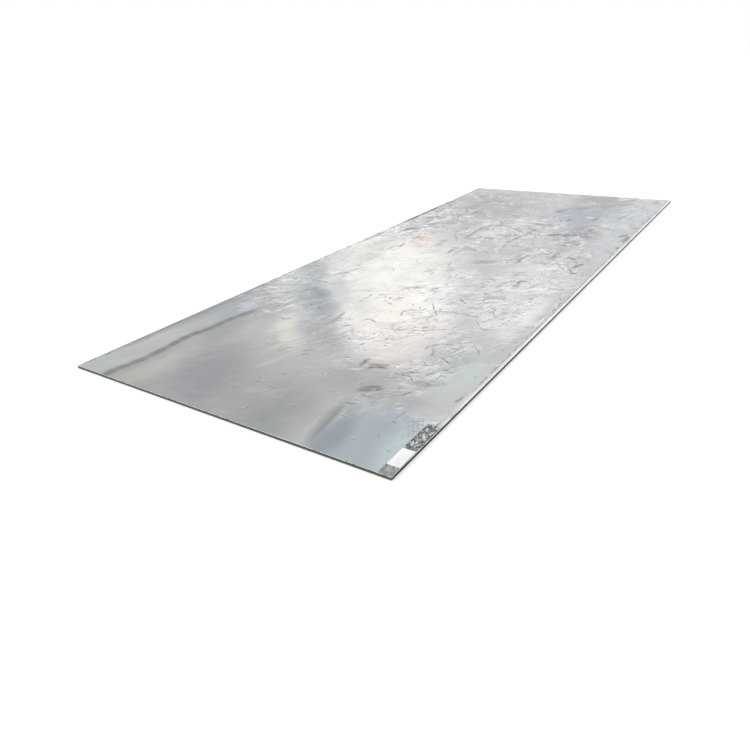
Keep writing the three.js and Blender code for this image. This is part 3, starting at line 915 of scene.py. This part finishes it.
def build_plate():
    """The plate as one closed mesh: loops round its edge, a fine grid on top and a coarser one below."""
    section = edge_section()
    rim = rim_cells(CELLS_ALONG, CELLS_ACROSS)
    loop = len(rim)
    points = [torn_and_knocked(i, j, inset, height) for inset, height in section for i, j in rim]
    sides = []
    for level in range(len(section) - 1):
        for k in range(loop):
            a, b = level * loop + k, level * loop + (k + 1) % loop
            sides.append((a, b, b + loop, a + loop))
    above = grid_index(points, rim, len(points) - loop, 1, lambda i, j: waved(i, j, *section[-1]))
    top = [(above[i, j], above[i + 1, j], above[i + 1, j + 1], above[i, j + 1])
           for i in range(CELLS_ALONG) for j in range(CELLS_ACROSS)]
    below = grid_index(points, rim, 0, UNDER_CELLS, lambda i, j: grid_point(i, j, *section[0]))
    under = [under_face(below, i, j)
             for i in range(0, CELLS_ALONG, UNDER_CELLS) for j in range(0, CELLS_ACROSS, UNDER_CELLS)]
    plate = new_object("plate_body", points, sides + top + under)
    levels_below_rim = sum(1 for inset, height in section if height < TOP - ROLLOVER + 0.01) - 1
    edge = levels_below_rim * loop
    finishes = ([FINISH_EDGE] * edge + [FINISH_RIM] * (len(sides) - edge)
                + [FINISH_TOP] * len(top) + [FINISH_UNDER] * len(under))
    plate.data.polygons.foreach_set("material_index", finishes)
    return plate


# ---------------------------------------------------------------- tag

# The tag: cells of its mesh along and across, the radius of its corners, its turn on the plate in degrees,
# half the height of its unevenness and the size of its waves, and how far and over what distance its free
# corner has curled up.
TAG_CELLS = (50, 26)
TAG_CORNER = 1.5
TAG_TURN = 0.7
TAG_UNEVEN = 0.05
TAG_WAVE = (14, 11)
TAG_CURL = 0.22
TAG_CURL_REACH = 16


def tag_frame():
    """The tag's (low corner, unit vector along, unit vector across, length, width), read from its solid."""
    spots = [Vector((v.co.x, v.co.y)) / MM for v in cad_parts["paper_tag"].data.vertices]
    turn = math.radians(TAG_TURN)
    along = Vector((math.cos(turn), math.sin(turn)))
    across = Vector((-along.y, along.x))
    reach_along = [spot.dot(along) for spot in spots]
    reach_across = [spot.dot(across) for spot in spots]
    low = along * min(reach_along) + across * min(reach_across)
    return low, along, across, max(reach_along) - min(reach_along), max(reach_across) - min(reach_across)


def lines_of(length, cells):
    """Places of the grid lines along one side, closer together at the rounded corners."""
    corner = [TAG_CORNER * k / 4 for k in range(4)]
    middle = [TAG_CORNER + (length - 2 * TAG_CORNER) * k / cells for k in range(cells + 1)]
    return corner + middle + [length - c for c in reversed(corner)]


def rounded(u, v, length, width):
    """A grid point moved in so that the sheet's corners are round."""
    x, y = u - length / 2, v - width / 2
    over_x = (abs(x) - length / 2 + TAG_CORNER) / TAG_CORNER
    over_y = (abs(y) - width / 2 + TAG_CORNER) / TAG_CORNER
    if over_x > 0 and over_y > 0:
        pulled_x = over_x * math.sqrt(1 - over_y ** 2 / 2)
        pulled_y = over_y * math.sqrt(1 - over_x ** 2 / 2)
        x = math.copysign(length / 2 - TAG_CORNER + pulled_x * TAG_CORNER, x)
        y = math.copysign(width / 2 - TAG_CORNER + pulled_y * TAG_CORNER, y)
    return x + length / 2, y + width / 2


def build_tag():
    """The paper tag: a thin closed sheet that lies a little uneven, with one corner curling up."""
    low, along, across, length, width = tag_frame()
    columns, rows = lines_of(length, TAG_CELLS[0]), lines_of(width, TAG_CELLS[1])
    points = []
    for height in (TAG_LOW[2], TAG_HIGH[2]):
        for u in columns:
            for v in rows:
                x, y = rounded(u, v, length, width)
                lift = TAG_UNEVEN * (1 + noise.noise(Vector((x / TAG_WAVE[0], y / TAG_WAVE[1], 3))))
                lift += TAG_CURL * max(0.0, 1 - math.hypot(x, width - y) / TAG_CURL_REACH) ** 2
                spot = low + along * x + across * y
                points.append((spot.x, spot.y, height + lift))
    last_i, last_j = len(columns) - 1, len(rows) - 1
    sheet = len(columns) * len(rows)

    def at(i, j, upper):
        return upper * sheet + i * len(rows) + j

    faces = []
    for i in range(last_i):
        for j in range(last_j):
            faces.append((at(i, j, 1), at(i + 1, j, 1), at(i + 1, j + 1, 1), at(i, j + 1, 1)))
            faces.append((at(i, j, 0), at(i, j + 1, 0), at(i + 1, j + 1, 0), at(i + 1, j, 0)))
    rim = rim_cells(last_i, last_j)
    for (i, j), (k, m) in zip(rim, rim[1:] + rim[:1]):
        faces.append((at(i, j, 0), at(k, m, 0), at(k, m, 1), at(i, j, 1)))
    return new_object("stock_tag", points, faces)


# ---------------------------------------------------------------- loose scale and shreds

# How high the bits start above the plate, and how far from the tag the shreds keep.
LYING = 0.02
TAG_CLEAR = 8

# Chips: corners of their outline, the smallest and the largest as parts of the given length, width and
# thickness, how far they turn off the drag in degrees, and the seed of their turns.
CHIP_SIDES = 11
SMALLEST_CHIP = (0.4, 0.5, 0.7)
LARGEST_CHIP = (1.3, 1.2, 1.0)
CHIP_SWING = 60
LEAN_SEED = 7

# Drifts of loose scale: their length and width, the height of a noise at which they begin, where they start
# along the plate, and over what length they rise to their full share.
DRIFT_SIZE = (170, 120)
DRIFT_FOOT = 0.42
DRIFTS_FROM = -1180
DRIFTS_RISE = 220


def ragged_chip(tree, given):
    """One chip: a disc of length, width and thickness 1, whose outline is pushed about."""
    disc = add(tree, "GeometryNodeMeshCylinder", {"Vertices": CHIP_SIDES, "Radius": 0.5, "Depth": 1.0},
               fill_type="NGON")["Mesh"]
    spot = add(tree, "GeometryNodeInputPosition")[0]
    uneven = add(tree, "ShaderNodeTexNoise", {"Vector": spot, "Scale": 3.0, "Detail": 1.0})["Color"]
    push = add(tree, "ShaderNodeVectorMath", {0: uneven, 1: (0.5, 0.5, 0.5)}, operation="SUBTRACT")[0]
    ragged = add(tree, "ShaderNodeCombineXYZ", {0: given["Raggedness"], 1: given["Raggedness"]})[0]
    push = add(tree, "ShaderNodeVectorMath", {0: push, 1: ragged}, operation="MULTIPLY")[0]
    return add(tree, "GeometryNodeSetPosition", {"Geometry": disc, "Offset": push})[0]


def chip_size(tree, given):
    """A chip's own length, width and thickness."""
    size = add(tree, "ShaderNodeCombineXYZ",
               {0: given["Chip length"], 1: given["Chip width"], 2: given["Chip thickness"]})[0]
    varied = add(tree, "FunctionNodeRandomValue",
                 {0: SMALLEST_CHIP, 1: LARGEST_CHIP, "Seed": given["Seed"]}, data_type="FLOAT_VECTOR")[0]
    return add(tree, "ShaderNodeVectorMath", {0: size, 1: varied}, operation="MULTIPLY")[0]


def chip_turn(tree, given):
    """A chip's own rotation: tilted a little, and turned off the way that the scale was dragged."""
    lean = add(tree, "FunctionNodeRandomValue", {0: (-1, -1, -1), 1: (1, 1, 1), "Seed": LEAN_SEED},
               data_type="FLOAT_VECTOR")[0]
    swing = math.radians(CHIP_SWING)
    reach = add(tree, "ShaderNodeCombineXYZ", {0: given["Tilt"], 1: given["Tilt"], 2: swing})[0]
    turn = add(tree, "ShaderNodeVectorMath", {0: lean, 1: reach, 2: (0, 0, math.radians(DRAG))},
               operation="MULTIPLY_ADD")[0]
    return add(tree, "FunctionNodeEulerToRotation", {0: turn})[0]


def make_chip_scatter():
    """A Geometry Nodes tree that strews thin, ragged chips over its mesh, as thickly as the mesh's share
    attribute says, each tilted a little so that one side lifts."""
    tree = bpy.data.node_groups.new("chip_scatter", "GeometryNodeTree")
    for name, kind in (("Ground", "Geometry"), ("Chip length", "Float"), ("Chip width", "Float"),
                       ("Chip thickness", "Float"), ("Chips per square metre", "Float"),
                       ("Raggedness", "Float"), ("Tilt", "Float"), ("Seed", "Int"), ("Finish", "Material")):
        tree.interface.new_socket(name, in_out="INPUT", socket_type=f"NodeSocket{kind}")
    tree.interface.new_socket("Chips", in_out="OUTPUT", socket_type="NodeSocketGeometry")
    given = add(tree, "NodeGroupInput")

    share = add(tree, "GeometryNodeInputNamedAttribute", {"Name": "share"}, data_type="FLOAT")
    density = add(tree, "ShaderNodeMath", {0: share[0], 1: given["Chips per square metre"]},
                  operation="MULTIPLY")
    spots = add(tree, "GeometryNodeDistributePointsOnFaces",
                {"Mesh": given["Ground"], "Density": density[0], "Seed": given["Seed"]},
                distribute_method="RANDOM")
    chip, size, turn = ragged_chip(tree, given), chip_size(tree, given), chip_turn(tree, given)
    laid = add(tree, "GeometryNodeInstanceOnPoints",
               {"Points": spots["Points"], "Instance": chip, "Rotation": turn, "Scale": size})
    loose = add(tree, "GeometryNodeRealizeInstances", {0: laid[0]})
    painted = add(tree, "GeometryNodeSetMaterial", {"Geometry": loose[0], "Material": given["Finish"]})
    add(tree, "NodeGroupOutput", {0: painted[0]})
    return tree


def chip_ground(low, high, columns, rows, share):
    """A flat grid for the scatter, whose share attribute says how thickly chips lie at each point."""
    xs = np.linspace(low[0], high[0], columns)
    ys = np.linspace(low[1], high[1], rows)
    points = [(x, y, TOP + LYING) for x in xs for y in ys]
    faces = [(i * rows + j, (i + 1) * rows + j, (i + 1) * rows + j + 1, i * rows + j + 1)
             for i in range(columns - 1) for j in range(rows - 1)]
    ground = new_object("chip_ground", points, faces)
    layer = ground.data.attributes.new("share", "FLOAT", "POINT")
    layer.data.foreach_set("value", [share(x, y) for x, y, z in points])
    return ground


def strew(name, scatter, ground, sizes):
    """Runs the scatter on its ground and keeps the chips as a plain mesh."""
    modifier = ground.modifiers.new("chips", "NODES")
    modifier.node_group = scatter
    for item in scatter.interface.items_tree:
        if item.name in sizes:
            modifier[item.identifier] = sizes[item.name]
    evaluated = ground.evaluated_get(bpy.context.evaluated_depsgraph_get())
    mesh = bpy.data.meshes.new_from_object(evaluated)
    ground.modifiers.remove(modifier)
    bpy.data.objects.remove(ground)
    return place_object(name, mesh)


def scale_share(x, y):
    """How thickly loose scale lies: in drifts over the wrinkled part, thinner towards the far end, and none
    at the smooth end."""
    drift = 0.5 + 0.5 * noise.noise(Vector((x / DRIFT_SIZE[0], y / DRIFT_SIZE[1], 8)))
    wrinkled = min(1.0, max(0.0, (x - SLANT * y - DRIFTS_FROM) / DRIFTS_RISE))
    far = min(1.0, max(0.35, 1 - (x - 200) / 1500))
    return wrinkled * far * max(0.0, drift - DRIFT_FOOT) ** 1.5 * 6


def shred_share(x, y):
    """Shreds lie over the torn strip, but not on the tag."""
    return float(x > TAG_HIGH[0] + TAG_CLEAR or x < TAG_LOW[0] - TAG_CLEAR)


def build_loose_scale(scatter):
    """Flakes of scale that came off in the leveller, over all of the top face but its smooth end."""
    ground = chip_ground((-1400, -590), (1480, 590), 120, 50, scale_share)
    return strew("loose_scale", scatter, ground,
                 {"Chip length": 0.014, "Chip width": 0.005, "Chip thickness": 0.00012,
                  "Chips per square metre": 260.0, "Raggedness": 0.9, "Tilt": 0.016, "Seed": 11,
                  "Finish": make_chip_material("loose_scale", "#DADBD8", "#6B6F71")})


def build_shreds(scatter):
    """Shreds of foil left by an older tag, on the strip where it was torn off."""
    low, high = (END + 11, SIDE + 9), (STRIP_END - 6, SIDE + STRIP_DEPTH - 6)
    ground = chip_ground(low, high, 60, 12, shred_share)
    return strew("foil_shreds", scatter, ground,
                 {"Chip length": 0.012, "Chip width": 0.0035, "Chip thickness": 0.00008,
                  "Chips per square metre": 5200.0, "Raggedness": 0.9, "Tilt": 0.012, "Seed": 5,
                  "Finish": make_chip_material("foil_shreds", "#CDD1CF", "#7F8583")})


# ---------------------------------------------------------------- stage

# Half the floor's side, how far it lies under the plate so that the two faces don't meet, and the light
# that it adds of itself towards the camera.
FLOOR_HALF = 30000
FLOOR_DROP = 0.5
FLOOR_LIFT = 0.42

# The lamp: the way that its light goes, how wide it looks in degrees, and its strength.
LAMP_AIM = (0.75, -0.9, -1.0)
LAMP_WIDTH = 30
LAMP_STRENGTH = 1.2


def seen(tree):
    """1 for rays that show the background: to the camera, and in metal and glass."""
    path = add(tree, "ShaderNodeLightPath")
    mirrored = add(tree, "ShaderNodeMath", {0: path["Is Glossy Ray"], 1: path["Is Transmission Ray"]},
                   operation="MAXIMUM")
    return add(tree, "ShaderNodeMath", {0: path["Is Camera Ray"], 1: mirrored[0]}, operation="MAXIMUM")[0]


def make_floor():
    """A wide pale floor. To the camera it is lifted to white, less the shadow that falls on it."""
    half, drop = FLOOR_HALF, FLOOR_DROP
    corners = [(-half, -half, -drop), (half, -half, -drop), (half, half, -drop), (-half, half, -drop)]
    floor = new_object("floor", corners, [(0, 1, 2, 3)])
    material, tree = new_material("floor_paint")
    paint = add(tree, "ShaderNodeBsdfDiffuse", {"Color": linear("#D0D0D0")})
    lift = add(tree, "ShaderNodeEmission", {"Color": linear("#FFFFFF"), "Strength": FLOOR_LIFT})
    lifted = add(tree, "ShaderNodeAddShader", {0: paint[0], 1: lift[0]})
    shown = add(tree, "ShaderNodeMixShader", {0: seen(tree), 1: paint[0], 2: lifted[0]})
    add(tree, "ShaderNodeOutputMaterial", {"Surface": shown[0]})
    floor.data.materials.append(material)


def make_world():
    """A pale sky, a little brighter low down, and plain white to the camera."""
    world = bpy.data.worlds.new("studio")
    bpy.context.scene.world = world
    world.use_nodes = True
    tree = world.node_tree
    tree.nodes.clear()
    direction = add(tree, "ShaderNodeTexCoord")
    height = add(tree, "ShaderNodeSeparateXYZ", {0: direction["Generated"]})
    glow = add(tree, "ShaderNodeMapRange",
               {"Value": height["Z"], "From Min": 0, "From Max": 1, "To Min": 1.0, "To Max": 0.8})
    sky = add(tree, "ShaderNodeBackground", {"Color": linear("#FFFFFF"), "Strength": glow[0]})
    white = add(tree, "ShaderNodeBackground", {"Color": linear("#FFFFFF"), "Strength": 1.0})
    shown = add(tree, "ShaderNodeMixShader", {0: seen(tree), 1: sky[0], 2: white[0]})
    add(tree, "ShaderNodeOutputWorld", {"Surface": shown[0]})


def make_lamp():
    """One broad, soft lamp, high on the left, so that relief shows."""
    lamp = bpy.data.lights.new("soft_lamp", "SUN")
    lamp.angle = math.radians(LAMP_WIDTH)
    lamp.energy = LAMP_STRENGTH
    hung = place_object("soft_lamp", lamp)
    hung.rotation_euler = Vector(LAMP_AIM).to_track_quat("-Z", "Y").to_euler()


def make_camera():
    """The camera, near one end of the plate and a little above it."""
    camera = bpy.data.cameras.new("camera")
    camera.sensor_width = SENSOR
    camera.lens = SENSOR * FOCAL_PIXELS / IMAGE_PIXELS
    camera.clip_end = 200
    stand = place_object("camera", camera)
    turn = (Vector(CAMERA_AIM) - Vector(CAMERA_PLACE)).to_track_quat("-Z", "Y").to_matrix()
    stand.matrix_world = (Matrix.Translation(Vector(CAMERA_PLACE) * MM)
                          @ (turn @ Matrix.Rotation(CAMERA_ROLL, 3, "Z")).to_4x4())
    bpy.context.scene.camera = stand


make_camera()
make_world()
make_floor()
make_lamp()

plate = build_plate()
for finish in (make_top_material(), make_under_material(), make_edge_material(), make_rim_material()):
    plate.data.materials.append(finish)
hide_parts("steel_plate")
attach(plate, "root")

tag = build_tag()
tag.data.materials.append(make_tag_material())
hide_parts("paper_tag")
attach(tag, "root")

scatter = make_chip_scatter()
loose_scale = build_loose_scale(scatter)
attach(loose_scale, "root")

shreds = build_shreds(scatter)
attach(shreds, "root")

bpy.context.scene.view_settings.view_transform = "Standard"
